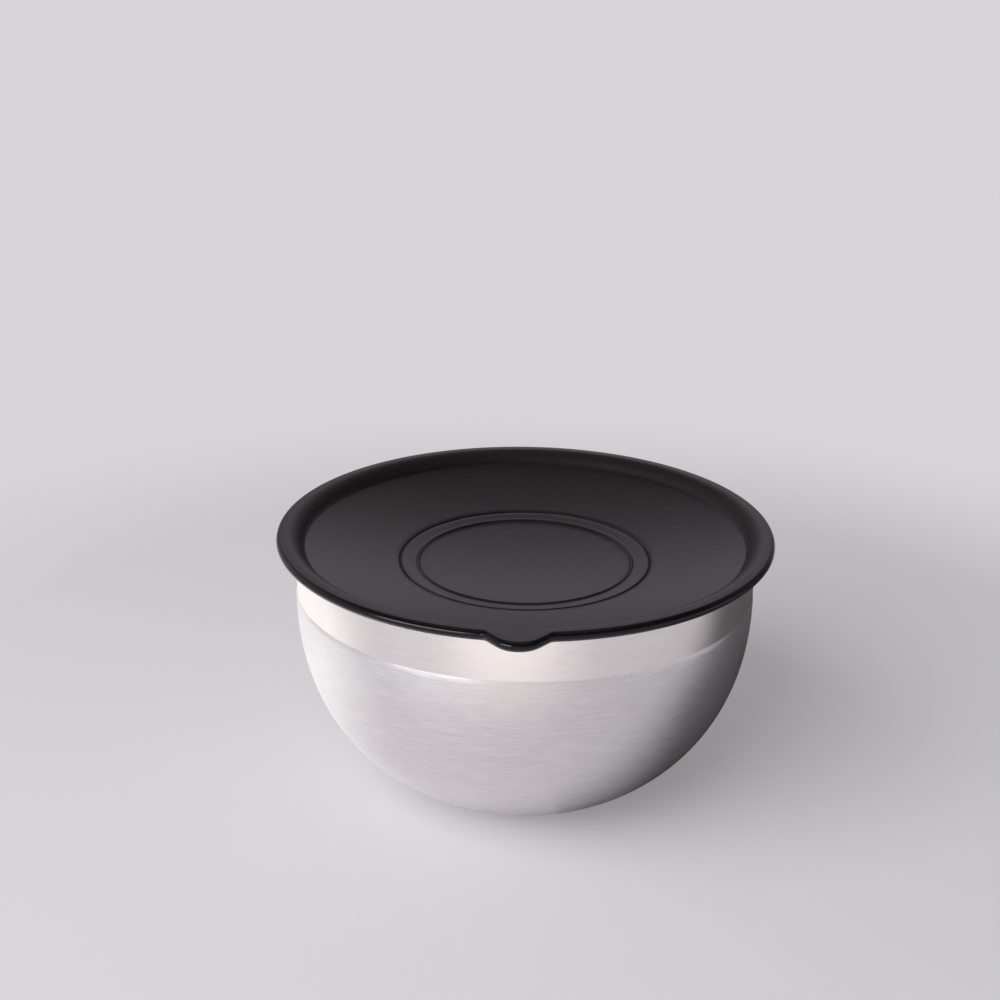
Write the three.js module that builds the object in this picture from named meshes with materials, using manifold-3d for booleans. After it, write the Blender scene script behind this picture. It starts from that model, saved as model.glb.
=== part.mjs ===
// Lidded storage bowl: a deep-drawn steel bowl with a rolled rim, and a moulded lid that snaps over that rim.
// Millimetres, +Z up. The origin is the centre of the flat base, and the lid's pull tab points to -Y.
import * as THREE from 'three';
import { mergeVertices } from 'three/addons/utils/BufferGeometryUtils.js';
import Module from 'manifold-3d';

// Bowl sizes
const COLLAR_R = 109.8; // outside of the straight collar under the lid
const SHEET = 0.8; // thickness of the steel sheet
const BASE_R = 50; // edge of the flat base
const BELLY_FULLNESS = 2.2; // 2 is a plain ellipse, more is fuller at the shoulder
const CREASE_Z = 101; // height of the crease between belly and collar
const SHOULDER_STEP = 0.4; // how far the belly's shoulder stands out past the collar
const SHOULDER_RISE = 2.2; // height over which that shoulder rounds in to the crease
const RIM_TOP_Z = 125.8; // top of the bowl's rim
const RIM_REACH = 6.8; // how far the rim reaches out past the collar
const RIM_BEND_R = 3; // outside radius of the bend from collar to rim
const BEAD_R = 1.1; // radius of the bead rolled into the rim's edge

// Lid sizes
const LID_WALL = 1.8; // thickness of the panel and of the flat band round it
const SKIRT_WALL = 1.8; // thickness of the skirt round the bowl's rim
const EDGE_ROUND = 2.1; // rounding of the lid's outer edge
const RECESS_DEPTH = 6; // drop from the band to the panel's edge
const RECESS_RUN = 4.5; // how far that drop leans inwards
const RECESS_ROUND = 1.5; // rounding at the head and foot of that drop
const DISH_DEPTH = 14.9; // sag of the panel from its edge to its centre
const LIP_GRIP = 0.4; // how far the snap lip reaches in under the rolled rim
const LIP_DROP = 0.25; // height of the lead-in under the lip's tip
const LIP_LEAD = 0.85; // how far that lead-in opens outwards
const RIDGE_WIDTH = 2.6; // ridge that keeps a second bowl's base in place
const RIDGE_HEIGHT = 0.6;
const GROOVE_SPACING = 8.7; // from the ridge out to the ring groove
const GROOVE_WIDTH = 1.8;
const GROOVE_DEPTH = 0.6;
const TAB_ROOT_WIDTH = 30; // pull tab where it leaves the lid's edge
const TAB_TIP_WIDTH = 13;
const TAB_SWEEP = 0.6; // how far the curve of the tab's sides reaches in from each end, as a share
const TAB_REACH = 9.5; // how far the tab stands out past the edge
const TAB_THICK = 4;
const TAB_DROP = 0.2; // how far the tab's top face lies under the band's
const TAB_ROUND = 1.5; // rounding of the tab's edges

// Clearances
const SEAT_GAP = 0.3; // lid to the rolled rim
const PLUG_GAP = 0.3; // lid's recess wall to the bend of the rim
const STACK_GAP = 0.2; // a second bowl's base to the ridge

// Facets
const TURN_STEPS = 56;
const BELLY_STEPS = 11;
const PANEL_STEPS = 4;
const CURVE_STEPS = 6;
const EDGE_STEPS = 3;
const ARC_STEP = Math.PI / 7;

const QUARTER = Math.PI / 2;

const wasm = await Module();
wasm.setup();

// A point of a profile: distance from the axis, then height
const at = (r, z) => new THREE.Vector2(r, z);

// Points on an arc of a profile, both ends included
function arc(centre, radius, from, to) {
  const steps = Math.max(2, Math.ceil(Math.abs(to - from) / ARC_STEP));
  return Array.from({ length: steps + 1 }, (_, i) => {
    const angle = from + ((to - from) * i) / steps;
    return at(centre.x + radius * Math.cos(angle), centre.y + radius * Math.sin(angle));
  });
}

// The arc that rounds the corner between two straight stretches of a profile
function roundCorner(before, corner, after, radius) {
  const back = before.clone().sub(corner).normalize();
  const on = after.clone().sub(corner).normalize();
  const half = Math.acos(back.dot(on)) / 2;
  const reach = radius / Math.tan(half);
  const middle = back.clone().add(on).normalize();
  const centre = corner.clone().addScaledVector(middle, radius / Math.sin(half));
  const from = corner.clone().addScaledVector(back, reach).sub(centre).angle();
  const turn = Math.sign(back.cross(on)) * (Math.PI - 2 * half);
  return arc(centre, radius, from, from - turn);
}

// Turns a profile about the Z axis. It runs from axis to axis with the material on its left.
function revolve(profile) {
  return new THREE.LatheGeometry(profile, TURN_STEPS).rotateX(QUARTER);
}

// Merges shared vertices, and drops the triangles with no area that a lathe leaves on its axis
function weld(geometry) {
  geometry.deleteAttribute('normal');
  geometry.deleteAttribute('uv');
  const welded = mergeVertices(geometry);
  const corners = welded.getIndex().array;
  const kept = [];
  for (let i = 0; i < corners.length; i += 3) {
    const [a, b, c] = corners.slice(i, i + 3);
    if (a !== b && b !== c && c !== a) kept.push(a, b, c);
  }
  welded.setIndex(kept);
  return welded;
}

function toSolid(geometry) {
  const welded = weld(geometry);
  return new wasm.Manifold(new wasm.Mesh({
    numProp: 3,
    vertProperties: Float32Array.from(welded.getAttribute('position').array),
    triVerts: Uint32Array.from(welded.getIndex().array),
  }));
}

function toGeometry(solid) {
  const { vertProperties, triVerts } = solid.getMesh();
  const geometry = new THREE.BufferGeometry();
  geometry.setAttribute('position', new THREE.BufferAttribute(vertProperties, 3));
  geometry.setIndex(new THREE.BufferAttribute(triVerts, 1));
  return geometry;
}

function namedMesh(name, geometry, look) {
  const mesh = new THREE.Mesh(geometry, new THREE.MeshStandardMaterial(look));
  mesh.geometry.computeVertexNormals();
  mesh.name = name;
  return mesh;
}

// Bowl: places that follow from its sizes
const rimR = COLLAR_R + RIM_REACH;
const bellyR = COLLAR_R + SHOULDER_STEP;
const bellyTopZ = CREASE_Z - SHOULDER_RISE;
const bellyDepth = bellyTopZ / (1 - (BASE_R / bellyR) ** BELLY_FULLNESS) ** (1 / BELLY_FULLNESS);
const shoulderR = (SHOULDER_STEP ** 2 + SHOULDER_RISE ** 2) / (2 * SHOULDER_STEP);
const bead = at(rimR - BEAD_R, RIM_TOP_Z - BEAD_R);
const bend = at(COLLAR_R + RIM_BEND_R, RIM_TOP_Z - SHEET - RIM_BEND_R);

// The belly is a full ellipse that rises from the edge of the flat base and ends upright
function bellyCurve(inset) {
  const radius = bellyR - inset;
  const depth = bellyDepth - inset;
  const power = 2 / BELLY_FULLNESS;
  const floorAngle = Math.asin(((bellyTopZ - inset) / depth) ** (1 / power));
  return Array.from({ length: BELLY_STEPS + 1 }, (_, i) => {
    const angle = floorAngle * (1 - i / BELLY_STEPS);
    return at(radius * Math.cos(angle) ** power, bellyTopZ - depth * Math.sin(angle) ** power);
  });
}

// One face of the sheet, from the middle of the base up the belly and over its shoulder to the crease
function sheetFace(inset) {
  const radius = shoulderR - inset;
  const creaseAngle = Math.acos(1 - SHOULDER_STEP / radius);
  const shoulder = arc(at(bellyR - shoulderR, bellyTopZ), radius, 0, creaseAngle);
  return [at(0, inset), ...bellyCurve(inset), ...shoulder.slice(1)];
}

// The collar bends out into the rim, whose edge is rolled down into a bead
function bowlProfile() {
  const beadStart = Math.PI - Math.asin((BEAD_R - SHEET) / BEAD_R);
  return [
    ...sheetFace(0),
    ...arc(bend, RIM_BEND_R, 2 * QUARTER, QUARTER),
    ...arc(bead, BEAD_R, beadStart, 5 * QUARTER),
    ...arc(bend, RIM_BEND_R + SHEET, QUARTER, 2 * QUARTER),
    ...sheetFace(SHEET).reverse(),
  ];
}

// Lid: places that follow from the bowl's rim and the clearances
const lidR = rimR + SEAT_GAP + SKIRT_WALL;
const seatZ = RIM_TOP_Z + SEAT_GAP;
const bandZ = seatZ + LID_WALL;
const recessLean = Math.hypot(RECESS_RUN, RECESS_DEPTH);
const recessNormal = at(RECESS_DEPTH / recessLean, -RECESS_RUN / recessLean);
const plugOffset = RIM_BEND_R + SHEET + PLUG_GAP;

// Where the leaning recess wall, at a set distance from the centre of the rim's bend, passes a height
function recessR(offset, z) {
  return bend.x - (offset - (bend.y - z) * recessNormal.y) / recessNormal.x;
}

const recessHead = at(recessR(plugOffset + LID_WALL, bandZ), bandZ);
const recessFoot = at(recessHead.x - RECESS_RUN, bandZ - RECESS_DEPTH);

// The panel is a shallow dish: part of a sphere with its centre high above the lid
const dishR = (recessFoot.x ** 2 + DISH_DEPTH ** 2) / (2 * DISH_DEPTH);
const dishTopZ = recessFoot.y - DISH_DEPTH + dishR;
const ridgeR = BASE_R + STACK_GAP + RIDGE_WIDTH / 2;
const grooveR = ridgeR + GROOVE_SPACING;

function dishPoint(r, depth) {
  return at(r, dishTopZ - Math.sqrt((dishR + depth) ** 2 - r ** 2));
}

// Evenly spaced points along the dish, with the first one left out
function dishRun(from, to, depth) {
  return Array.from({ length: PANEL_STEPS }, (_, i) => (
    dishPoint(from + ((to - from) * (i + 1)) / PANEL_STEPS, depth)));
}

// A rounded ring on the dish, from its outer side to its inner: a ridge, or a groove where height is negative
function ring(radius, width, height) {
  return [2, 1, 0, -1, -2].map((quarter) => {
    const point = dishPoint(radius + (quarter * width) / 4, 0);
    point.y += height * Math.cos((quarter * Math.PI) / 4) ** 2;
    return point;
  });
}

function lidTop() {
  const panelStart = dishPoint(recessFoot.x - RECESS_RUN, 0);
  const grooveOuterR = grooveR + GROOVE_WIDTH / 2;
  const ridgeInnerR = ridgeR - RIDGE_WIDTH / 2;
  return [
    ...roundCorner(at(lidR, bandZ), recessHead, recessFoot, RECESS_ROUND),
    ...roundCorner(recessHead, recessFoot, panelStart, RECESS_ROUND),
    ...dishRun(panelStart.x, grooveOuterR, 0).slice(0, -1),
    ...ring(grooveR, GROOVE_WIDTH, -GROOVE_DEPTH),
    ...ring(ridgeR, RIDGE_WIDTH, RIDGE_HEIGHT),
    ...dishRun(ridgeInnerR, 0, 0),
  ];
}

// The underside runs parallel to the dish and the recess wall, then round the bowl's bead to the snap lip
function lidUnderside() {
  const dishNormal = at(recessFoot.x / dishR, -(dishTopZ - recessFoot.y) / dishR);
  const mitre = recessNormal.clone().add(dishNormal).divideScalar(1 + recessNormal.dot(dishNormal));
  const underFoot = recessFoot.clone().addScaledVector(mitre, LID_WALL);
  const lipAngle = -Math.acos((BEAD_R - LIP_GRIP) / (BEAD_R + SEAT_GAP));
  return [
    dishPoint(0, LID_WALL),
    ...dishRun(0, underFoot.x, LID_WALL).slice(0, -1),
    underFoot,
    at(recessR(plugOffset, seatZ), seatZ),
    ...arc(bead, BEAD_R + SEAT_GAP, QUARTER, lipAngle),
  ];
}

// The outer edge rises from the lip's lead-in and turns over into the flat band
function lidEdge(lipTip) {
  const lead = at(lipTip.x + LIP_LEAD, lipTip.y - LIP_DROP);
  const round = Math.min(EDGE_ROUND, (bandZ - lead.y) / 2);
  const centre = at(lidR - round, bandZ - round);
  const toLead = lead.clone().sub(centre);
  const tangent = Math.atan2(toLead.y, toLead.x) + Math.acos(round / toLead.length());
  return [lead, ...arc(centre, round, tangent, QUARTER)];
}

function lidProfile() {
  const underside = lidUnderside();
  return [...underside, ...lidEdge(underside.at(-1)), ...lidTop()];
}

// Pull tab: a bell-shaped plate with rounded edges, rooted in the skirt
function tabPlate() {
  const rootHalf = TAB_ROOT_WIDTH / 2;
  const tipHalf = TAB_TIP_WIDTH / 2;
  const sweep = TAB_SWEEP * (rootHalf - tipHalf);
  const tipR = lidR + TAB_REACH;
  const tipAngle = Math.asin(tipHalf / tipR);
  const tipY = -tipR * Math.cos(tipAngle);
  const rootY = -(lidR - SKIRT_WALL / 2) * Math.cos(Math.asin(rootHalf / lidR));
  const outline = new THREE.Shape();
  outline.moveTo(rootHalf, -bend.x);
  outline.lineTo(-rootHalf, -bend.x);
  outline.lineTo(-rootHalf, rootY);
  outline.bezierCurveTo(-rootHalf + sweep, rootY, -tipHalf - sweep, tipY, -tipHalf, tipY);
  outline.quadraticCurveTo(0, -tipR / Math.cos(tipAngle), tipHalf, tipY);
  outline.bezierCurveTo(tipHalf + sweep, tipY, rootHalf - sweep, rootY, rootHalf, rootY);
  const round = Math.min(TAB_ROUND, TAB_THICK / 2 - SEAT_GAP);
  const plate = new THREE.ExtrudeGeometry(outline, {
    depth: TAB_THICK - 2 * round,
    curveSegments: CURVE_STEPS,
    bevelThickness: round,
    bevelSize: round,
    bevelOffset: -round,
    bevelSegments: EDGE_STEPS,
  });
  return plate.translate(0, 0, bandZ - TAB_DROP - TAB_THICK + round);
}

// Space that the tab's root leaves free: it ends inside the skirt's wall and inside the band's
function tabRootClearance() {
  const radius = rimR + SEAT_GAP + SKIRT_WALL / 4;
  const top = seatZ + LID_WALL / 2;
  const block = new THREE.CylinderGeometry(radius, radius, top, TURN_STEPS);
  return block.rotateX(QUARTER).translate(0, 0, top / 2);
}

function lidGeometry() {
  const tab = toSolid(tabPlate()).subtract(toSolid(tabRootClearance()));
  return toGeometry(toSolid(revolve(lidProfile())).add(tab));
}

const bowl = namedMesh('bowl_shell', weld(revolve(bowlProfile())), {
  color: '#c9c5c6',
  roughness: 0.32,
  metalness: 1,
});

const lid = namedMesh('snap_lid', lidGeometry(), {
  color: '#2e2b2d',
  roughness: 0.55,
  metalness: 0,
});

const storageBowl = new THREE.Group();
storageBowl.add(bowl, lid);

export default storageBowl;
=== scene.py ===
# %% [markdown]
# # A steel storage bowl with a snap lid
# The object is two pieces: a bowl drawn and spun from one sheet of steel, and a soft
# plastic lid that snaps over the bowl's rolled rim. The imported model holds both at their
# real size, with flat facets. This lesson turns the same two pieces again with smooth
# profiles, gives them their finishes, and sets a small studio round them.

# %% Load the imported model
import math

import bmesh
import bpy
from mathutils import Matrix, Vector


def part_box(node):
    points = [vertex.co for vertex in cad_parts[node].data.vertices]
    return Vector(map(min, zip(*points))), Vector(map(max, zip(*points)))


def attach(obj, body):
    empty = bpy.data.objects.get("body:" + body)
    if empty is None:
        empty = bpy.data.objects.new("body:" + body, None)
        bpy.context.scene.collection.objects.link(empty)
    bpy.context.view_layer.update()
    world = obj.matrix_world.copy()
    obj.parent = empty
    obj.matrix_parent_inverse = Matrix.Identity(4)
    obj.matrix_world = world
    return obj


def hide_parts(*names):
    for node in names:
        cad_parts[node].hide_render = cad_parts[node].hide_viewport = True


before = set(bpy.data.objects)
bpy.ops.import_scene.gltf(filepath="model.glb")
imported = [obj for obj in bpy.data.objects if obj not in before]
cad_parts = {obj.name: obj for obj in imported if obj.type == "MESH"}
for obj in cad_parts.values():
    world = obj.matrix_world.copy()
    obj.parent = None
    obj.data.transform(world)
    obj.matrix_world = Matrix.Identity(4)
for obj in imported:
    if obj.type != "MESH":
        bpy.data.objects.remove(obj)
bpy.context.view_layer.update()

# %% [markdown]
# ## Sizes
# Blender works in metres, and a maker thinks of a bowl in millimetres, so MM turns one
# into the other. The outer sizes could be typed in again, but here they are read from the
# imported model: if the bowl is made larger there, the smooth pieces follow.

# %% Outer sizes
MM = 0.001
bowl_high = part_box("bowl_shell")[1]
lid_low, lid_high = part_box("snap_lid")
rim_r, rim_z = bowl_high.x, bowl_high.z
lid_r, band_z = lid_high.x, lid_high.z
tab_reach = -lid_low.y - lid_r
print(f"rim {rim_r / MM:.1f} mm, lid {lid_r / MM:.1f} mm, tab reaches {tab_reach / MM:.1f} mm")

# %% [markdown]
# ## Drawing a profile
# Both pieces are round, so each is drawn once as a half section and spun about the
# upright axis. A section could be a curve object. Here it is a list of points, because
# those are easy to measure: distance from the axis, then height. Only two helpers are
# needed, an arc and the round between two straight stretches.

# %% Arcs and rounded corners
def arc(centre, radius, start, end, steps):
    """Points along an arc of a section, with both ends; angles in degrees."""
    turns = [math.radians(start + (end - start) * i / steps) for i in range(steps + 1)]
    return [(centre[0] + radius * math.cos(t), centre[1] + radius * math.sin(t)) for t in turns]


def round_corner(before, corner, after, radius, steps):
    """The arc that rounds the corner between two straight stretches of a section."""
    corner = Vector(corner)
    back = (Vector(before) - corner).normalized()
    on = (Vector(after) - corner).normalized()
    half = back.angle(on) / 2
    centre = corner + (back + on).normalized() * radius / math.sin(half)
    first = corner + back * radius / math.tan(half) - centre
    last = corner + on * radius / math.tan(half) - centre
    start = math.degrees(math.atan2(first.y, first.x))
    sweep = math.degrees(math.atan2(first.x * last.y - first.y * last.x, first.dot(last)))
    return arc(centre, radius, start, start + sweep, steps)


print("a quarter arc:", [(round(r, 2), round(z, 2)) for r, z in arc((0, 0), 1, 0, 90, 2)])

# %% [markdown]
# ## The bowl's section
# The real bowl is one sheet of steel: a flat base, a belly that is a little fuller than an
# ellipse, a rounded shoulder that tucks in to a crease, a straight collar, and a rim that
# bends out and is rolled under into a bead. Both faces of the sheet could be drawn, but a
# sheet has the same thickness everywhere, so only its inner face is drawn, and the
# thickness is added afterwards.

# %% Sizes of the sheet
SHEET = 0.8 * MM
BASE_R = 50 * MM
BASE_ROUND = 7 * MM
CREASE_Z = 101 * MM
CREASE_ROUND = 0.35 * MM
SHOULDER_STEP = 0.25 * MM
SHOULDER_RISE = 3 * MM
RIM_REACH = 6.8 * MM
RIM_BEND_R = 3 * MM
BEAD_R = 1.1 * MM

collar_r = rim_r - RIM_REACH
belly_r = collar_r + SHOULDER_STEP
belly_z = CREASE_Z - SHOULDER_RISE
bend = (collar_r + RIM_BEND_R, rim_z - SHEET - RIM_BEND_R)
bead = (rim_r - BEAD_R, rim_z - BEAD_R)
print(f"collar {collar_r / MM:.1f} mm, belly {belly_r / MM:.1f} mm from the axis")

# %% [markdown]
# The belly follows one formula from the base up to the shoulder: an ellipse has a fullness
# of 2, and a higher value swells it towards a box. A formula keeps the curve fair, where a
# few points set by eye would show as dents in the steel's reflections.

# %% Section of the sheet's inner face
BELLY_FULLNESS = 2.2
BELLY_STEPS = 72
BASE_STEPS, SHOULDER_STEPS, TUCK_STEPS = 8, 8, 4
COLLAR_STEPS, BEND_STEPS, BEAD_STEPS = 12, 16, 24
BEAD_START, BEAD_END = 90, -150  # degrees: the bead is rolled under by two thirds of a turn


def belly_curve():
    """The belly's inner face from the edge of the base up to where it is upright."""
    power = 2 / BELLY_FULLNESS
    outer_depth = belly_z / (1 - (BASE_R / belly_r) ** BELLY_FULLNESS) ** (1 / BELLY_FULLNESS)
    radius, depth = belly_r - SHEET, outer_depth - SHEET
    lowest = math.asin(((belly_z - SHEET) / depth) ** (1 / power))
    turns = [lowest * (1 - i / BELLY_STEPS) for i in range(BELLY_STEPS + 1)]
    return [(radius * math.cos(t) ** power, belly_z - depth * math.sin(t) ** power) for t in turns]


def sheet_section():
    """The inner face from the middle of the base to the end of the rolled bead."""
    belly = belly_curve()
    middle = (0, SHEET)
    up_the_belly = belly[3]  # far enough up to clear the round at the base's edge
    base_edge = round_corner(middle, belly[0], up_the_belly, BASE_ROUND, BASE_STEPS)
    belly = [p for p in belly if p[0] > base_edge[-1][0]]
    shoulder_r = (SHOULDER_STEP**2 + SHOULDER_RISE**2) / (2 * SHOULDER_STEP) - SHEET
    crease = math.degrees(math.acos(1 - SHOULDER_STEP / shoulder_r))
    shoulder = arc((belly[-1][0] - shoulder_r, belly_z), shoulder_r, 0, crease, SHOULDER_STEPS)
    rim = arc(bend, RIM_BEND_R + SHEET, 180, 90, BEND_STEPS)
    tuck = round_corner(shoulder[-2], shoulder[-1], rim[0], CREASE_ROUND + SHEET, TUCK_STEPS)
    collar_rise = (rim[0][1] - tuck[-1][1]) / COLLAR_STEPS
    collar = [(rim[0][0], tuck[-1][1] + collar_rise * i) for i in range(1, COLLAR_STEPS)]
    roll = arc(bead, BEAD_R, BEAD_START, BEAD_END, BEAD_STEPS)
    return [middle, *base_edge, *belly, *shoulder[1:-1], *tuck, *collar, *rim, *roll]


bowl_section = sheet_section()
print(len(bowl_section), "points from the base to the bead")

# %% [markdown]
# ## Spinning a section
# A lathe turns the real bowl against a tool. A Screw modifier could do the same, but
# bmesh.ops.spin leaves a plain mesh whose points can carry marks. Each step of the spin
# adds one strip of faces. Before it, every point is given its distance along the section,
# which the finish later uses to lay its fine lines round the bowl. The points on the axis
# and the seam double up, so they are merged, and then the normals are set.

# %% Turn the bowl
TURN_STEPS = 240
MERGE = 0.0005 * MM  # far below the smallest step of a section
AXIS = Vector((0, 0, 1))


def draw_section(bm, section, marks=(), heading=0):
    """Draws a section as a chain of edges at a heading, with the marks that follow each point."""
    along = bm.verts.layers.float.new("along")
    layers = [bm.verts.layers.float.new(mark) for mark in marks]
    turn = Matrix.Rotation(heading, 3, "Z")
    before = None
    for r, z, *values in section:
        vert = bm.verts.new(turn @ Vector((r, 0, z)))
        for layer, value in zip(layers, values):
            vert[layer] = value
        if before:
            bm.edges.new((before, vert))
            vert[along] = before[along] + (vert.co - before.co).length
        before = vert
    return bm.verts[:] + bm.edges[:]


def finish_mesh(bm, name):
    """Merges doubles, points the faces outwards and hands the mesh to a smooth-shaded object."""
    bmesh.ops.remove_doubles(bm, verts=bm.verts, dist=MERGE)
    bmesh.ops.dissolve_degenerate(bm, edges=bm.edges, dist=MERGE)
    bmesh.ops.recalc_face_normals(bm, faces=bm.faces)
    mesh = bpy.data.meshes.new(name)
    bm.to_mesh(mesh)
    bm.free()
    mesh.shade_smooth()
    piece = bpy.data.objects.new(name, mesh)
    bpy.context.scene.collection.objects.link(piece)
    print(name, len(mesh.polygons), "faces")
    return piece


bm = bmesh.new()
section = draw_section(bm, bowl_section)
bmesh.ops.spin(
    bm, geom=section, cent=(0, 0, 0), axis=AXIS, angle=math.tau, steps=TURN_STEPS, use_merge=True,
)
bowl = finish_mesh(bm, "bowl")

# %% [markdown]
# ## Giving the sheet its thickness
# The spun face is the inside of the bowl. A Solidify modifier adds the sheet's thickness
# on the other side, evenly also in the tight bend of the rim, and closes the rolled edge.
# A spin may leave the face looking either way, so a face of the belly is asked first.

# %% Thickness of the steel
SHARP_ANGLE = math.radians(30)

belly_face = max(
    (face for face in bowl.data.polygons if face.center.z < belly_z),
    key=lambda face: face.center.xy.length,
)
faces_out = belly_face.normal.xy.dot(belly_face.center.xy) > 0
thickness = bowl.modifiers.new("sheet_thickness", "SOLIDIFY")
thickness.thickness = SHEET
thickness.offset = 1 if faces_out else -1
thickness.use_even_offset = True
bowl.data.set_sharp_from_angle(angle=SHARP_ANGLE)
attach(bowl, "bowl")
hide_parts("bowl_shell")
print("the spun face looks", "outwards" if faces_out else "inwards")

# %% [markdown]
# ## The lid's dish and rings
# The lid is one moulding. Its panel is a shallow dish, part of a large ball, with a raised
# ring that holds the base of a second bowl and a fine groove round it. The rings could be
# separate pieces laid on the dish. As part of one section they melt into it without a
# seam, as they do in the mould.

# %% Dish, ridge and groove
BAND_WIDTH = 8.84 * MM
RECESS_DEPTH = 6 * MM
RECESS_RUN = 4.5 * MM
DISH_DEPTH = 14.9 * MM
RIDGE_R, RIDGE_WIDTH, RIDGE_HEIGHT = 51.5 * MM, 2.4 * MM, 0.8 * MM
GROOVE_R, GROOVE_WIDTH, GROOVE_DEPTH = 60.2 * MM, 1.7 * MM, 0.9 * MM
RING_STEPS = 12

recess_head = Vector((lid_r - BAND_WIDTH, band_z))
recess_foot = recess_head - Vector((RECESS_RUN, RECESS_DEPTH))
dish_r = (recess_foot.x**2 + DISH_DEPTH**2) / (2 * DISH_DEPTH)
dish_top = recess_foot.y - DISH_DEPTH + dish_r


def dish(r, depth=0):
    """A point of the dished panel, or of a face that lies parallel under it."""
    return (r, dish_top - math.sqrt((dish_r + depth) ** 2 - r**2))


def dish_run(start, end, steps, depth=0):
    """Points along the dish between two distances from the axis."""
    return [dish(start + (end - start) * i / steps, depth) for i in range(steps + 1)]


def ring(radius, width, height):
    """A rounded ring on the dish: a ridge, or a groove where the height is negative."""
    points = []
    for i in range(RING_STEPS + 1):
        share = i / RING_STEPS
        r, z = dish(radius + (share - 0.5) * width)
        points.append((r, z + height * math.sin(share * math.pi) ** 2))
    return points


print(f"the dish is part of a ball of {dish_r / MM:.0f} mm radius")

# %% [markdown]
# ## The lid's top and underside
# Outside the dish, a recess wall rolls over in one wide curve into a narrow flat band. Below
# the band a small lip snaps under the bowl's bead, and the underside follows the bowl's rim
# and the dish. The places of the lip and the seat are worked out from the bead and a
# clearance, so the lid fits if the rim is changed.

# %% Top, lip and underside
LID_WALL = 1.8 * MM
SEAT_GAP = 0.3 * MM
ROLL_HEAD, ROLL_LEAN = 8.8 * MM, 4.5 * MM
ROLL_ROUND, ROLL_FOOT_ROUND = 9 * MM, 1 * MM
LIP_GRIP, LIP_DROP, LIP_LEAD = 0.4 * MM, 0.25 * MM, 0.85 * MM
PANEL_STEPS, BETWEEN_STEPS, FOOT_STEPS = 16, 4, 8
WALL_STEPS, LIP_STEPS, UNDER_STEPS = 24, 16, 24

roll_head = (lid_r - ROLL_HEAD, band_z)
roll_foot = dish(roll_head[0] - ROLL_LEAN)


def lid_top():
    """Top face from the middle of the dish to the foot of the recess wall."""
    panel_end = dish(roll_foot[0] - RECESS_RUN)
    ridge_in, ridge_out = RIDGE_R - RIDGE_WIDTH / 2, RIDGE_R + RIDGE_WIDTH / 2
    groove_in, groove_out = GROOVE_R - GROOVE_WIDTH / 2, GROOVE_R + GROOVE_WIDTH / 2
    return [
        *dish_run(0, ridge_in, PANEL_STEPS)[:-1],
        *ring(RIDGE_R, RIDGE_WIDTH, RIDGE_HEIGHT),
        *dish_run(ridge_out, groove_in, BETWEEN_STEPS)[1:-1],
        *ring(GROOVE_R, GROOVE_WIDTH, -GROOVE_DEPTH),
        *dish_run(groove_out, panel_end[0], PANEL_STEPS)[1:],
        *round_corner(panel_end, roll_foot, roll_head, ROLL_FOOT_ROUND, FOOT_STEPS),
    ]


def lid_wall():
    """Recess wall above its foot, rolled over into the band."""
    return round_corner(roll_foot, roll_head, (lid_r, band_z), ROLL_ROUND, WALL_STEPS)


def lid_lip():
    """Underside of the edge, from the tip of the lip to the seat on the rim."""
    clear = BEAD_R + SEAT_GAP
    tip_angle = -math.degrees(math.acos((BEAD_R - LIP_GRIP) / clear))
    return arc(bead, clear, tip_angle, 90, LIP_STEPS)


def lid_under():
    """Underside of the recess wall, along the bowl's rim, and of the dish."""
    wall = Vector((RECESS_DEPTH, -RECESS_RUN)).normalized()
    panel = Vector((recess_foot.x / dish_r, (recess_foot.y - dish_top) / dish_r))
    foot = recess_foot + (wall + panel) / (1 + wall.dot(panel)) * LID_WALL
    seat_z = band_z - LID_WALL
    slope = RECESS_RUN / RECESS_DEPTH
    head = (foot.x + (seat_z - foot.y) * slope, seat_z)
    return [head, *dish_run(foot.x, 0, UNDER_STEPS, LID_WALL)]


lip = lid_lip()
lead = (lip[0][0] + LIP_LEAD, lip[0][1] - LIP_DROP)
print(f"the tip of the lip is at {lip[0][0] / MM:.2f}, {lip[0][1] / MM:.2f} mm")

# %% [markdown]
# ## The lid's edge, and the marks of its points
# The outer edge is one round that ends where it meets the straight lead-in under it. The
# whole section is then put together. Two marks go with each point: how rough the mould left
# it, and how far it follows the pull tab when that is drawn out of the edge. The recess wall
# is the roughest face, because it drags along the mould when the lid is pushed out. The band
# lets go of the tab's pull gradually towards the inside.

# %% Put the lid's section together
EDGE_ROUND = 2.1 * MM
BAND_HOLD = 5.5 * MM
GRAINED, POLISHED, DRAWN, UNDER = 0.36, 0.16, 0.65, 0.3  # roughness of each kind of face
BAND_STEPS, EDGE_STEPS = 8, 16
POLISH_STEPS = 3  # steps of the edge in which the grain gives way to the polish

edge_centre = Vector((lid_r - EDGE_ROUND, band_z - EDGE_ROUND))
to_lead = Vector(lead) - edge_centre
edge_end = math.degrees(math.atan2(to_lead.y, to_lead.x) + math.acos(EDGE_ROUND / to_lead.length))


def ease(share):
    """A share from 0 to 1 that starts and ends gently."""
    share = min(max(share, 0), 1)
    return share * share * (3 - 2 * share)


def held(r):
    """How far a point of the band follows the tab: less and less towards the inside."""
    return ease((r - edge_centre.x + BAND_HOLD) / BAND_HOLD)


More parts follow.
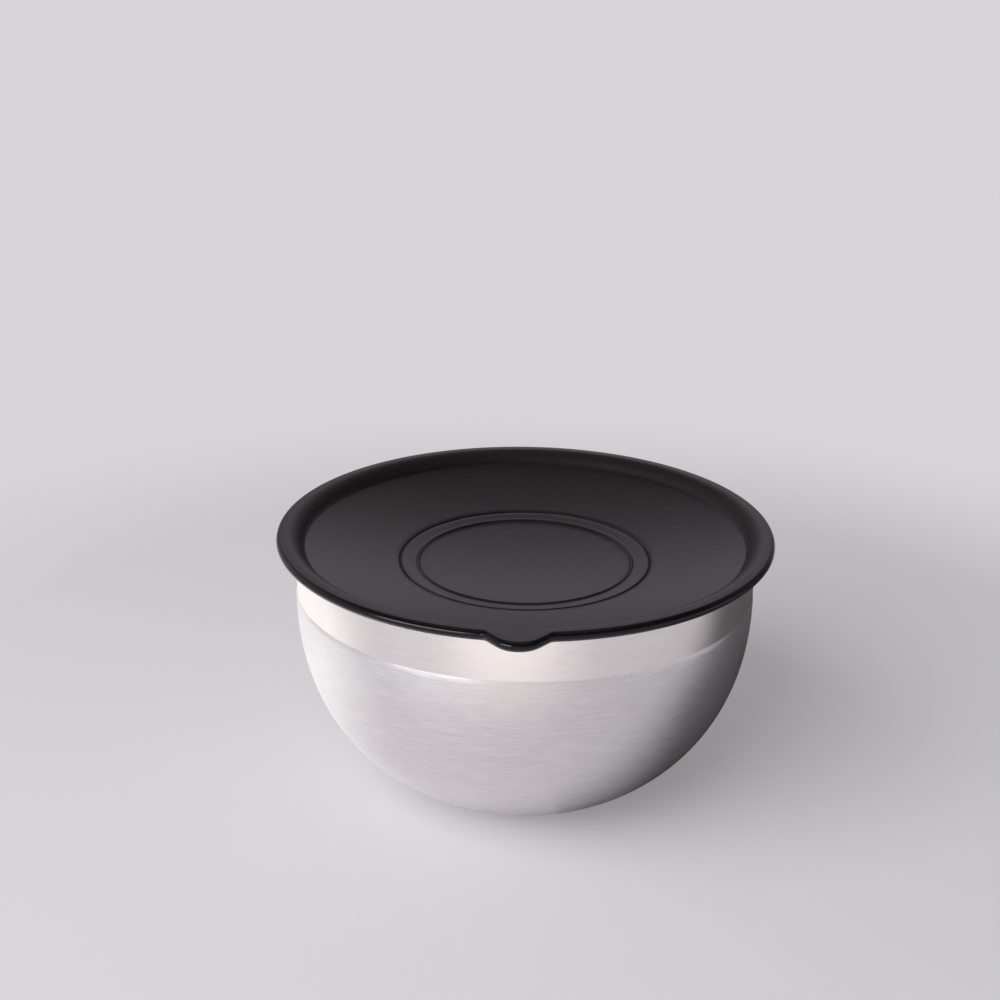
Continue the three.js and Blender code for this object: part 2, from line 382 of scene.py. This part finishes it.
def lid_section():
    """All points of the lid as (distance, height, roughness, pull)."""
    marked = [(r, z, GRAINED, 0) for r, z in lid_top()]
    wall = lid_wall()
    for i, (r, z) in enumerate(wall, 1):
        marked.append((r, z, DRAWN + (GRAINED - DRAWN) * i / len(wall), held(r)))
    band_start, band_end = wall[-1][0], edge_centre.x
    for i in range(1, BAND_STEPS + 1):
        r = band_start + (band_end - band_start) * i / BAND_STEPS
        marked.append((r, band_z, GRAINED, held(r)))
    edge = arc(edge_centre, EDGE_ROUND, 90, edge_end, EDGE_STEPS)
    for i, (r, z) in enumerate(edge[1:], 1):
        marked.append((r, z, GRAINED + (POLISHED - GRAINED) * ease(i / POLISH_STEPS), 1))
    # The lead-in's point is there twice: between the two lies the tab's underside
    marked += [(*lead, POLISHED, 1), (*lead, POLISHED, 0)]
    marked += [(r, z, UNDER, 0) for r, z in [*lip, *lid_under()]]
    return marked


lid_points = lid_section()
print(len(lid_points), "points, edge round ends at", round(edge_end, 1), "degrees")

# %% [markdown]
# ## The pull tab's outline
# The tab is a bell: the lid's edge swings out in a small hollow curve, runs out slanting
# and turns round in one wide tip. A block could be joined on with a Boolean, which leaves an
# untidy seam. Seen from above the tab is only a change of the edge's radius, so it is
# written as one: how far the edge stands out at a given distance from the tab's middle line.

# %% Outline of the tab
TAB_TIP_R = 13 * MM
TAB_HOLLOW_R = 1.5 * MM
TAB_FLANK = math.radians(45)

tip_run = TAB_TIP_R * math.sin(TAB_FLANK)
tip_drop = TAB_TIP_R * (1 - math.cos(TAB_FLANK))
hollow_run = TAB_HOLLOW_R * math.sin(TAB_FLANK)
hollow_drop = TAB_HOLLOW_R * (1 - math.cos(TAB_FLANK))
flank_drop = tab_reach - tip_drop - hollow_drop
flank_run = flank_drop / math.tan(TAB_FLANK)


def tab_stand_out(aside):
    """How far the edge stands out at a distance aside of the tab's middle line."""
    aside = abs(aside)
    if aside < tip_run:
        return tab_reach - TAB_TIP_R + math.sqrt(TAB_TIP_R**2 - aside**2)
    aside -= tip_run
    if aside < flank_run:
        return hollow_drop + flank_drop - aside * math.tan(TAB_FLANK)
    aside -= flank_run
    if aside < hollow_run:
        return TAB_HOLLOW_R - math.sqrt(TAB_HOLLOW_R**2 - (hollow_run - aside) ** 2)
    return 0


def tab_edge(heading):
    """Point of the lid's outline at a heading from the tab's middle line, seen from above."""
    r = lid_r + tab_stand_out(lid_r * heading)
    return Vector((r * math.sin(heading), -r * math.cos(heading)))


print(f"the tab's root is {2 * (tip_run + flank_run + hollow_run) / MM:.1f} mm wide")

# %% [markdown]
# ## Turning the lid and drawing out its tab
# The section is spun in two goes: in fine steps across the tab, and in coarser steps round
# the rest. Then each point that follows the tab is set at its own distance inside the
# outline, so that the rounded edge runs round the tab without a break, as in the mould.

# %% Turn the lid
TAB_HALF_ANGLE = math.radians(11)
TAB_STEPS = 72
REST_STEPS = 232
SIDE_STEP = math.radians(0.02)

bm = bmesh.new()
section = draw_section(bm, lid_points, ("rough", "pull"), -math.pi / 2 - TAB_HALF_ANGLE)
for angle, steps in ((2 * TAB_HALF_ANGLE, TAB_STEPS), (math.tau - 2 * TAB_HALF_ANGLE, REST_STEPS)):
    spun = bmesh.ops.spin(bm, geom=section, cent=(0, 0, 0), axis=AXIS, angle=angle, steps=steps)
    section = spun["geom_last"]

pull = bm.verts.layers.float["pull"]
for vert in bm.verts:
    heading = math.atan2(vert.co.x, -vert.co.y)
    if vert[pull] == 0 or abs(heading) > TAB_HALF_ANGLE:
        continue
    side = tab_edge(heading + SIDE_STEP) - tab_edge(heading - SIDE_STEP)
    outwards = Vector((side.y, -side.x)).normalized()
    moved = tab_edge(heading) - outwards * (lid_r - vert.co.xy.length)
    vert.co.xy = vert.co.xy.lerp(moved, vert[pull])

lid = finish_mesh(bm, "lid")
lid.data.set_sharp_from_angle(angle=SHARP_ANGLE)
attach(lid, "lid")
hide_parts("snap_lid")

# %% [markdown]
# ## Colours and nodes
# Colours are written as the hex values that a paint program shows. The shader works with
# linear light, so one function converts them. A second small function adds any node with
# its settings and its inputs: a value is set on the socket, an output is linked to it.

# %% Helpers for materials
def hex_colour(text):
    """A colour such as "#c9c5c6" as linear red, green and blue, with an alpha of 1."""
    parts = [int(text[i : i + 2], 16) / 255 for i in (1, 3, 5)]
    linear = [p / 12.92 if p <= 0.04045 else ((p + 0.055) / 1.055) ** 2.4 for p in parts]
    return (*linear, 1)


def add_node(tree, kind, inputs=None, **settings):
    """Adds a node, sets its properties, and sets or links its inputs."""
    node = tree.nodes.new(kind)
    for name, value in settings.items():
        setattr(node, name, value)
    for name, value in (inputs or {}).items():
        if isinstance(value, bpy.types.NodeSocket):
            tree.links.new(value, node.inputs[name])
        else:
            node.inputs[name].default_value = value
    return node


def new_tree(name):
    """A new material with an empty node tree."""
    material = bpy.data.materials.new(name)
    material.use_nodes = True
    material.node_tree.nodes.clear()
    return material, material.node_tree


print("a mid grey in linear light:", [round(c, 3) for c in hex_colour("#808080")])

# %% [markdown]
# ## The streaks of a brushed finish
# The bowl was spun against a fine abrasive, which leaves hairlines that all run round it,
# far thinner than a millimetre. They could be cut into the mesh, which would take millions
# of faces. A noise texture that is stretched round the bowl does it: slow in X and Y, quick
# along the section.

# %% Hairlines round the bowl
STREAK_LENGTH = 11 * MM
STREAK_WIDTH = 0.5 * MM  # real hairlines are finer, and would not show at this size
STREAK_DETAIL, STREAK_ROUGHNESS = 3, 0.6


def hairlines(tree, xyz):
    """Noise in short streaks that run round the axis."""
    along = add_node(tree, "ShaderNodeAttribute", attribute_name="along")
    scaled = [
        add_node(tree, "ShaderNodeMath", {0: value, 1: 1 / size}, operation="MULTIPLY").outputs[0]
        for value, size in (
            (xyz.outputs["X"], STREAK_LENGTH),
            (xyz.outputs["Y"], STREAK_LENGTH),
            (along.outputs["Fac"], STREAK_WIDTH),
        )
    ]
    stretched = add_node(tree, "ShaderNodeCombineXYZ", dict(zip("XYZ", scaled)))
    noise = add_node(
        tree, "ShaderNodeTexNoise",
        {
            "Vector": stretched.outputs["Vector"],
            "Scale": 1,
            "Detail": STREAK_DETAIL,
            "Roughness": STREAK_ROUGHNESS,
        },
    )
    return noise.outputs["Fac"]


print("streaks", STREAK_LENGTH / MM, "mm long and", STREAK_WIDTH / MM, "mm wide")

# %% [markdown]
# ## Stainless steel, brushed round the axis
# Hairlines do two things to the eye: they smear every reflection up and down, and they show
# as faint streaks. The smear is the shader's anisotropy, with the tangent turned across the
# lines. The streaks shift the tone, the roughness and, very little, the relief. The collar
# was pressed smooth by the last tool, so it is less rough than the belly. Its tones are
# painted lighter and warmer than the belly's: a painted reflection of the lit floor in front.

# %% Brushed stainless steel
BELLY_TONES = "#cecbca", "#fdfaf9"
# the hairlines move between the two tones of each pair; the collar's pair is painted lighter and
# warmer, a painted reflection
COLLAR_PAINTED_BRIGHT_TONES = "#e4dbd8", "#fffdfa"
STEEL_ROUGH = (0.27, 0.34)
COLLAR_ROUGH = 0.6  # as a share of the belly's roughness
HAIRLINE_DEPTH, HAIRLINE_STRENGTH = 0.004 * MM, 0.12
SMEAR, ACROSS_THE_LINES = 0.6, 0.25  # the turn is a quarter of the whole way round
NOISE_LOW, NOISE_HIGH = 0.3, 0.7  # nearly all of a noise texture lies between these


def brushed_stainless_steel():
    """Satin stainless steel: bright, grey, reflections drawn out across its hairlines."""
    material, tree = new_tree("brushed_stainless_steel")
    place = add_node(tree, "ShaderNodeTexCoord")
    xyz = add_node(tree, "ShaderNodeSeparateXYZ", {"Vector": place.outputs["Object"]})
    streaks = hairlines(tree, xyz)
    tones = [
        add_node(
            tree, "ShaderNodeMix",
            {"Factor": streaks, 6: hex_colour(dark), 7: hex_colour(light)},
            data_type="RGBA",
        )
        for dark, light in (BELLY_TONES, COLLAR_PAINTED_BRIGHT_TONES)
    ]
    gloss = add_node(
        tree, "ShaderNodeMapRange",
        {"Value": streaks, 1: NOISE_LOW, 2: NOISE_HIGH, 3: STEEL_ROUGH[0], 4: STEEL_ROUGH[1]},
    )
    on_collar = add_node(
        tree, "ShaderNodeMapRange", {"Value": xyz.outputs["Z"], 1: CREASE_Z - MM, 2: CREASE_Z + MM},
    )
    pressed = add_node(
        tree, "ShaderNodeMapRange", {"Value": on_collar.outputs["Result"], 3: 1, 4: COLLAR_ROUGH},
    )
    # above the crease the tone turns to the collar's lighter pair: painted brightness
    tone = add_node(
        tree, "ShaderNodeMix",
        {"Factor": on_collar.outputs["Result"], 6: tones[0].outputs[2], 7: tones[1].outputs[2]},
        data_type="RGBA",
    )
    rough = add_node(
        tree, "ShaderNodeMath", {0: gloss.outputs["Result"], 1: pressed.outputs["Result"]},
        operation="MULTIPLY",
    )
    relief = add_node(
        tree, "ShaderNodeBump",
        {"Height": streaks, "Strength": HAIRLINE_STRENGTH, "Distance": HAIRLINE_DEPTH},
    )
    tangent = add_node(tree, "ShaderNodeTangent", direction_type="RADIAL", axis="Z")
    steel = add_node(
        tree, "ShaderNodeBsdfPrincipled",
        {
            "Base Color": tone.outputs[2],
            "Metallic": 1,
            "Roughness": rough.outputs[0],
            "Anisotropic": SMEAR,
            "Anisotropic Rotation": ACROSS_THE_LINES,
            "Tangent": tangent.outputs["Tangent"],
            "Normal": relief.outputs["Normal"],
        },
    )
    add_node(tree, "ShaderNodeOutputMaterial", {"Surface": steel.outputs["BSDF"]})
    return material


bowl.data.materials.append(brushed_stainless_steel())
print("steel:", len(bowl.data.materials[0].node_tree.nodes), "nodes")

# %% [markdown]
# ## Moulded polypropylene
# The lid's mould was given a fine grain by etching, so its faces look like soft charcoal
# and pick up a wide sheen where light grazes them. The outer edge comes from a polished
# part of the mould and is nearly black, with a crisp highlight. Two materials could meet at
# the edge, with a line between them. One plastic does both: the colour is very dark, and
# only the roughness, the grain and the sheen follow the mark of each point.

# %% Moulded polypropylene
PLASTIC = "#0d090b"
PLASTIC_IOR = 1.49
GRAIN = 0.55 * MM  # the etched grain is about half as wide, and is drawn coarser to show
GRAIN_DETAIL, GRAIN_ROUGHNESS = 2, 0.6
GRAIN_DEPTH, GRAIN_STRENGTH = 0.03 * MM, (0.05, 0.9)
GRAIN_SHEEN = (0.3, 0.7)  # the pits of the grain return less light than its peaks


def moulded_polypropylene():
    """Black polypropylene: matte grain on its faces, a polished round edge."""
    material, tree = new_tree("moulded_polypropylene")
    place = add_node(tree, "ShaderNodeTexCoord")
    rough = add_node(tree, "ShaderNodeAttribute", attribute_name="rough")
    grain = add_node(
        tree, "ShaderNodeTexNoise",
        {
            "Vector": place.outputs["Object"],
            "Scale": 1 / GRAIN,
            "Detail": GRAIN_DETAIL,
            "Roughness": GRAIN_ROUGHNESS,
        },
    )
    grained, peaks = [
        add_node(
            tree, "ShaderNodeMapRange",
            {"Value": rough.outputs["Fac"], 1: POLISHED, 2: GRAINED, 3: on_edge, 4: on_face},
        )
        for on_edge, on_face in (GRAIN_STRENGTH, GRAIN_SHEEN)
    ]
    relief = add_node(
        tree, "ShaderNodeBump",
        {
            "Height": grain.outputs["Fac"],
            "Strength": grained.outputs["Result"],
            "Distance": GRAIN_DEPTH,
        },
    )
    sheen = add_node(
        tree, "ShaderNodeMapRange",
        {
            "Value": grain.outputs["Fac"],
            1: NOISE_LOW,
            2: NOISE_HIGH,
            3: GRAIN_SHEEN[0],
            4: peaks.outputs["Result"],
        },
    )
    plastic = add_node(
        tree, "ShaderNodeBsdfPrincipled",
        {
            "Base Color": hex_colour(PLASTIC),
            "Specular IOR Level": sheen.outputs["Result"],
            "Roughness": rough.outputs["Fac"],
            "IOR": PLASTIC_IOR,
            "Normal": relief.outputs["Normal"],
        },
    )
    add_node(tree, "ShaderNodeOutputMaterial", {"Surface": plastic.outputs["BSDF"]})
    return material


lid.data.materials.append(moulded_polypropylene())
print("grain", GRAIN / MM, "mm")

# %% [markdown]
# ## The studio floor
# The floor is a wide pale disc that takes the shadow. A lamp near the bowl lights the floor
# unevenly far out, so beyond a table's width the floor turns into a plain pale glow for the
# camera and for reflections, and the picture ends evenly without a horizon. A part of the
# same glow, for the camera alone, keeps the shadow as light as on a white table. Stronger
# lamps could do that too, but would wash out the bowl.

# %% Floor material
FLOOR = "#d7d5da"
FADE_START, FADE_END = 0.2, 0.6
SHADOW_LIFT = 0.35


def pale_floor():
    """A matt pale table top that fades into an even glow far from the bowl."""
    material, tree = new_tree("pale_table_top")
    place = add_node(tree, "ShaderNodeTexCoord")
    away = add_node(tree, "ShaderNodeVectorMath", {0: place.outputs["Object"]}, operation="LENGTH")
    far = add_node(
        tree, "ShaderNodeMapRange",
        {"Value": away.outputs["Value"], 1: FADE_START, 2: FADE_END},
        interpolation_type="SMOOTHSTEP",
    )
    path = add_node(tree, "ShaderNodeLightPath")
    seen = add_node(
        tree, "ShaderNodeMath",
        {0: path.outputs["Is Camera Ray"], 1: path.outputs["Is Glossy Ray"]},
        operation="MAXIMUM",
    )
    faded = add_node(
        tree, "ShaderNodeMath", {0: far.outputs["Result"], 1: seen.outputs[0]},
        operation="MULTIPLY",
    )
    lift = add_node(
        tree, "ShaderNodeMath", {0: path.outputs["Is Camera Ray"], 1: SHADOW_LIFT},
        operation="MULTIPLY",
    )
    share = add_node(
        tree, "ShaderNodeMath", {0: faded.outputs[0], 1: lift.outputs[0]}, operation="MAXIMUM",
    )
    top = add_node(tree, "ShaderNodeBsdfDiffuse", {"Color": hex_colour(FLOOR)})
    glow = add_node(tree, "ShaderNodeEmission", {"Color": hex_colour(FLOOR), "Strength": 1})
    mixed = add_node(
        tree, "ShaderNodeMixShader",
        {"Fac": share.outputs[0], 1: top.outputs["BSDF"], 2: glow.outputs["Emission"]},
    )
    add_node(tree, "ShaderNodeOutputMaterial", {"Surface": mixed.outputs["Shader"]})
    return material


print("the floor fades from", FADE_START, "to", FADE_END, "m")

# %% [markdown]
# The floor lies a hair below the base, because two faces at one height would flicker.

# %% Floor
FLOOR_R = 4.0
FLOOR_SIDES = 96
FLOOR_DROP = 0.1 * MM


def set_on_stage(bm, material):
    """Makes an object from a mesh, named for its material."""
    mesh = bpy.data.meshes.new(material.name)
    bm.to_mesh(mesh)
    bm.free()
    mesh.materials.append(material)
    thing = bpy.data.objects.new(material.name, mesh)
    bpy.context.scene.collection.objects.link(thing)
    return thing


bm = bmesh.new()
bmesh.ops.create_circle(bm, cap_ends=True, segments=FLOOR_SIDES, radius=FLOOR_R)
bmesh.ops.translate(bm, verts=bm.verts, vec=(0, 0, -FLOOR_DROP))
set_on_stage(bm, pale_floor())
print("floor", 2 * FLOOR_R, "m across")

# %% [markdown]
# ## The wall behind the bowl
# A steel bowl is a picture of its room, so the room matters more than the lamps. It could be
# built from planes, but a world shader is smoother and has no corners. It is asked for the
# light in one direction, a vector of length 1 whose X says how far right it points and whose
# Z how far up. A pale wall stands close behind the bowl and comes forward on its left. It is
# brightest straight behind, and darker at its foot.

# %% Light of the wall
WALL_HEADING = Vector((-0.357, 0.934, 0))  # some 20 degrees left of straight behind
WALL_EDGE = (-0.05, 0.3)
WALL_FADE = (0.2, 0.95)
WALL_LIGHT, WALL_SIDES, WALL_FOOT = 0.95, 0.35, 0.5
WALL_HALF, WALL_RISE = 0.3, 0.35
LEFT_LIGHT, LEFT_REACH = 0.35, (-0.35, -0.9)


def wall_share(tree, direction, z):
    """How much of the wall is seen in a direction."""
    towards = add_node(
        tree, "ShaderNodeVectorMath", {0: direction, 1: WALL_HEADING}, operation="DOT_PRODUCT",
    )
    wall = add_node(
        tree, "ShaderNodeMapRange",
        {"Value": towards.outputs["Value"], 1: WALL_EDGE[0], 2: WALL_EDGE[1]},
        interpolation_type="SMOOTHSTEP",
    )
    below = add_node(
        tree, "ShaderNodeMapRange", {"Value": z, 1: WALL_FADE[0], 2: WALL_FADE[1], 3: 1, 4: 0},
        interpolation_type="SMOOTHSTEP",
    )
    share = add_node(
        tree, "ShaderNodeMath", {0: wall.outputs["Result"], 1: below.outputs["Result"]},
        operation="MULTIPLY",
    )
    return share.outputs[0]


def wall_light(tree, x, z):
    """How bright the wall is in a direction."""
    aside = add_node(tree, "ShaderNodeMath", {0: x}, operation="ABSOLUTE")
    middle = add_node(
        tree, "ShaderNodeMapRange",
        {"Value": aside.outputs[0], 1: 0, 2: WALL_HALF, 3: WALL_LIGHT, 4: WALL_SIDES},
    )
    rise = add_node(
        tree, "ShaderNodeMapRange", {"Value": z, 1: 0, 2: WALL_RISE, 3: WALL_FOOT, 4: 1},
    )
    behind = add_node(
        tree, "ShaderNodeMath", {0: middle.outputs["Result"], 1: rise.outputs["Result"]},
        operation="MULTIPLY",
    )
    left = add_node(
        tree, "ShaderNodeMapRange",
        {"Value": x, 1: LEFT_REACH[0], 2: LEFT_REACH[1], 3: 0, 4: LEFT_LIGHT},
        interpolation_type="SMOOTHSTEP",
    )
    light = add_node(
        tree, "ShaderNodeMath", {0: left.outputs["Result"], 1: behind.outputs[0]}, operation="ADD",
    )
    return light.outputs[0]


print("wall", WALL_LIGHT, "in the middle and", WALL_SIDES, "at its sides")

# %% [markdown]
# ## The rest of the room
# The room itself is dim, which keeps the lid dark. Only the far end of the table glows, more
# on the left than on the right, and a soft light hangs overhead. The camera sees none of
# this: for it, the world has the floor's pale colour.

# %% World
ROOM_TINT = "#fff3fc"
ROOM_LIGHT = 0.06
HORIZON_LIGHT, HORIZON_LEFT = 0.45, 0.8
HORIZON_REACH, HORIZON_FADE = (-0.4, -0.85), (0.05, 0.35)
TOP_LIGHT, TOP_REACH = 0.3, (0.8, 0.97)


def table_light(tree, x, z):
    """The glow of the table's far end, which gives way to the dim room higher up."""
    strip = add_node(
        tree, "ShaderNodeMapRange",
        {"Value": x, 1: HORIZON_REACH[0], 2: HORIZON_REACH[1], 3: HORIZON_LIGHT, 4: HORIZON_LEFT},
        interpolation_type="SMOOTHSTEP",
    )
    horizon = add_node(
        tree, "ShaderNodeMapRange",
        {"Value": z, 1: HORIZON_FADE[0], 2: HORIZON_FADE[1], 3: strip.outputs["Result"], 4: ROOM_LIGHT},
        interpolation_type="SMOOTHSTEP",
    )
    return horizon.outputs["Result"]


def studio_room():
    """A world with a pale wall behind and to the left, and a dim room elsewhere."""
    world = bpy.data.worlds.new("studio_room")
    world.use_nodes = True
    tree = world.node_tree
    tree.nodes.clear()
    place = add_node(tree, "ShaderNodeTexCoord")
    direction = place.outputs["Generated"]
    xyz = add_node(tree, "ShaderNodeSeparateXYZ", {"Vector": direction})
    x, z = xyz.outputs["X"], xyz.outputs["Z"]
    around = add_node(
        tree, "ShaderNodeMapRange",
        {
            "Value": wall_share(tree, direction, z),
            3: table_light(tree, x, z),
            4: wall_light(tree, x, z),
        },
    )
    top = add_node(
        tree, "ShaderNodeMapRange",
        {"Value": z, 1: TOP_REACH[0], 2: TOP_REACH[1], 3: 0, 4: TOP_LIGHT},
        interpolation_type="SMOOTHSTEP",
    )
    light = add_node(
        tree, "ShaderNodeMath", {0: around.outputs["Result"], 1: top.outputs["Result"]},
        operation="ADD",
    )
    room = add_node(
        tree, "ShaderNodeBackground",
        {"Color": hex_colour(ROOM_TINT), "Strength": light.outputs[0]},
    )
    backdrop = add_node(tree, "ShaderNodeBackground", {"Color": hex_colour(FLOOR), "Strength": 1})
    path = add_node(tree, "ShaderNodeLightPath")
    mixed = add_node(
        tree, "ShaderNodeMixShader",
        {
            "Fac": path.outputs["Is Camera Ray"],
            1: room.outputs["Background"],
            2: backdrop.outputs["Background"],
        },
    )
    add_node(tree, "ShaderNodeOutputWorld", {"Surface": mixed.outputs["Shader"]})
    return world


bpy.context.scene.world = studio_room()
print("room", ROOM_LIGHT, "overhead", TOP_LIGHT)

# %% [markdown]
# ## The lamp
# One large soft lamp stands at the front left, as high as a studio soft box usually does.
# It draws the long soft shadow to the right. Mirrored as it is, it would wash out the matt
# lid, so reflections do not see it.

# %% Soft box
LAMP_AZIMUTH, LAMP_LIFT = math.radians(-42), math.radians(38)
LAMP_DISTANCE = 2.0
LAMP_SIDE = 2.0
LAMP_WATTS = 55


def aimed_place(azimuth, lift):
    """A place at the lamp's distance that looks at the middle of the bowl."""
    middle = Vector((0, 0, rim_z / 2))
    flat = LAMP_DISTANCE * math.cos(lift)
    spot = middle + Vector((
        flat * math.sin(azimuth),
        -flat * math.cos(azimuth),
        LAMP_DISTANCE * math.sin(lift),
    ))
    turn = (middle - spot).to_track_quat("-Z", "Y").to_matrix().to_4x4()
    return Matrix.Translation(spot) @ turn


def soft_box():
    """A square area lamp, which only diffuse surfaces see."""
    data = bpy.data.lights.new("soft_box", "AREA")
    data.shape = "SQUARE"
    data.size = LAMP_SIDE
    data.energy = LAMP_WATTS
    lamp = bpy.data.objects.new("soft_box", data)
    lamp.matrix_world = aimed_place(LAMP_AZIMUTH, LAMP_LIFT)
    lamp.visible_camera = lamp.visible_glossy = False
    bpy.context.scene.collection.objects.link(lamp)
    return lamp


print("lamp at", [round(x, 2) for x in soft_box().location])

# %% [markdown]
# ## The lamp's face
# In its place reflections see a smaller bright face, which stands lower. From there it
# leaves a thin streak on the lid's polished edge and a bright line along the bowl's crease,
# and it misses the matt panel of the lid. It gives no light of its own.

# %% Lamp face
FACE_LIFT = math.radians(14)
FACE_WIDTH, FACE_HEIGHT = 1.4, 0.7
FACE_GLOW = 7


def show_in_mirrors_only(thing):
    """Hides a thing from the camera, from matt surfaces and from shadows."""
    thing.visible_camera = thing.visible_diffuse = thing.visible_shadow = False


def lamp_face():
    """The lit face of the soft box, as reflections see it."""
    material, tree = new_tree("lamp_face")
    glow = add_node(tree, "ShaderNodeEmission", {"Strength": FACE_GLOW})
    add_node(tree, "ShaderNodeOutputMaterial", {"Surface": glow.outputs["Emission"]})
    bm = bmesh.new()
    bmesh.ops.create_grid(bm, x_segments=1, y_segments=1, size=0.5)
    bmesh.ops.scale(bm, verts=bm.verts, vec=(FACE_WIDTH, FACE_HEIGHT, 1))
    bmesh.ops.transform(bm, matrix=aimed_place(LAMP_AZIMUTH, FACE_LIFT), verts=bm.verts)
    show_in_mirrors_only(set_on_stage(bm, material))


lamp_face()
print("face", FACE_WIDTH, "m wide and", FACE_HEIGHT, "m high")

# %% [markdown]
# ## Cards for the steel
# Polished metal looks flat when everything round it is alike. A photographer lays a white
# card on one side of it, a dark one on the other, each with a flap that stands up at its
# far end, and a white one at the front. Lamps could do the same, but would change the
# shadow. The cards fade outwards from a point, so that no hard line shows in the steel.

# %% Matt card
CARD_ROUGH = 0.9
LEVEL = Vector((1, 1, 0))


def matt_card(name, colour, glow, middle, fade):
    """Matt card that is clear beyond one distance from a point on the floor, full within another."""
    material, tree = new_tree(name)
    place = add_node(tree, "ShaderNodeTexCoord")
    away = add_node(
        tree, "ShaderNodeVectorMath", {0: place.outputs["Object"], 1: Vector(middle) * MM},
        operation="SUBTRACT",
    )
    flat = add_node(
        tree, "ShaderNodeVectorMath", {0: away.outputs["Vector"], 1: LEVEL}, operation="MULTIPLY",
    )
    distance = add_node(tree, "ShaderNodeVectorMath", {0: flat.outputs["Vector"]}, operation="LENGTH")
    share = add_node(
        tree, "ShaderNodeMapRange",
        {"Value": distance.outputs["Value"], 1: fade[0] * MM, 2: fade[1] * MM},
        interpolation_type="SMOOTHSTEP",
    )
    # a glow above 0 makes the card shine by itself, though it is no lamp: a painted glow seen only in
    # reflections
    card = add_node(
        tree, "ShaderNodeBsdfPrincipled",
        {
            "Base Color": hex_colour(colour),
            "Roughness": CARD_ROUGH,
            "Emission Color": hex_colour(colour),
            "Emission Strength": glow,
        },
    )
    empty = add_node(tree, "ShaderNodeBsdfTransparent")
    mixed = add_node(
        tree, "ShaderNodeMixShader",
        {"Fac": share.outputs["Result"], 1: empty.outputs["BSDF"], 2: card.outputs["BSDF"]},
    )
    add_node(tree, "ShaderNodeOutputMaterial", {"Surface": mixed.outputs["Shader"]})
    return material


print("cards fade from their middle outwards")

# %% [markdown]
# The cards lie on the floor round the bowl and leave out the place where it stands. Their
# corners, middles and fades are in millimetres on the floor. Each lies on a level of its own,
# because overlapping cards at one height would flicker.

# %% Cards on the floor
CARD_LIFT = 0.5 * MM
FLAP_HEIGHT = 0.4
RIGHT_CARD = [(-140, 440), (340, 440), (340, -170), (20, -170), (20, 20), (-140, 20)]
RIGHT_TONE, RIGHT_GLOW = "#68686a", 0
RIGHT_MIDDLE, RIGHT_FADE = (150, 150, 0), (290, 190)
LEFT_CARD = [(40, 340), (-340, 340), (-340, -160), (-20, -160), (-20, 60), (40, 60)]
# the white card glows by itself: painted light that brightens the steel's left side
LEFT_TONE, LEFT_GLOW = "#f4f4f4", 0.33
LEFT_MIDDLE, LEFT_FADE = (-240, 95, 0), (250, 70)
FRONT_CARD = [(-300, -180), (280, -180), (280, -720), (-300, -720)]
# the front card glows by itself: painted light for the bright band on the collar
FRONT_TONE, FRONT_GLOW = "#f4f1ef", 0.27
FRONT_MIDDLE, FRONT_FADE = (-28, -440, 0), (280, 20)


def lay_card(corners, level, material, flap):
    """A flat card with these corners, and a flap of this height along its outer edge."""
    bm = bmesh.new()
    verts = [bm.verts.new((x * MM, y * MM, level * CARD_LIFT)) for x, y in corners]
    bmesh.ops.contextual_create(bm, geom=verts)
    if flap:
        outer = max(bm.edges, key=lambda edge: sum(abs(v.co.x) for v in edge.verts))
        raised = bmesh.ops.extrude_edge_only(bm, edges=[outer])
        top = [v for v in raised["geom"] if isinstance(v, bmesh.types.BMVert)]
        bmesh.ops.translate(bm, verts=top, vec=(0, 0, flap))
    show_in_mirrors_only(set_on_stage(bm, material))


dark = matt_card("black_card", RIGHT_TONE, RIGHT_GLOW, RIGHT_MIDDLE, RIGHT_FADE)
white = matt_card("white_card", LEFT_TONE, LEFT_GLOW, LEFT_MIDDLE, LEFT_FADE)
front = matt_card("front_card", FRONT_TONE, FRONT_GLOW, FRONT_MIDDLE, FRONT_FADE)
lay_card(RIGHT_CARD, 1, dark, FLAP_HEIGHT)
lay_card(LEFT_CARD, 2, white, FLAP_HEIGHT)
lay_card(FRONT_CARD, 3, front, 0)
print("flaps stand", FLAP_HEIGHT, "m high")

# %% [markdown]
# ## The camera
# The photograph was taken from a little above, with a short telephoto lens. The place, the
# tilt and the lens could be guessed by eye. Here they were found by laying the bowl's known
# circles over the picture, so that the outlines agree.

# %% Camera
EYE = Vector((13.4, -734.8, 423.2)) * MM
CAMERA_HEADING, CAMERA_TILT, CAMERA_ROLL = map(math.radians, (2, 20.98, 0.53))
LENS, SENSOR = 59.4, 36

camera_data = bpy.data.cameras.new("camera")
camera_data.lens = LENS
camera_data.sensor_width = SENSOR
camera = bpy.data.objects.new("camera", camera_data)
camera.matrix_world = (
    Matrix.Translation(EYE)
    @ Matrix.Rotation(CAMERA_HEADING, 4, "Z")
    @ Matrix.Rotation(math.pi / 2 - CAMERA_TILT, 4, "X")
    @ Matrix.Rotation(CAMERA_ROLL, 4, "Z")
)
bpy.context.scene.collection.objects.link(camera)
bpy.context.scene.camera = camera
bpy.context.scene.view_settings.view_transform = "Standard"
print(f"the camera is {EYE.length:.2f} m from the bowl's base")
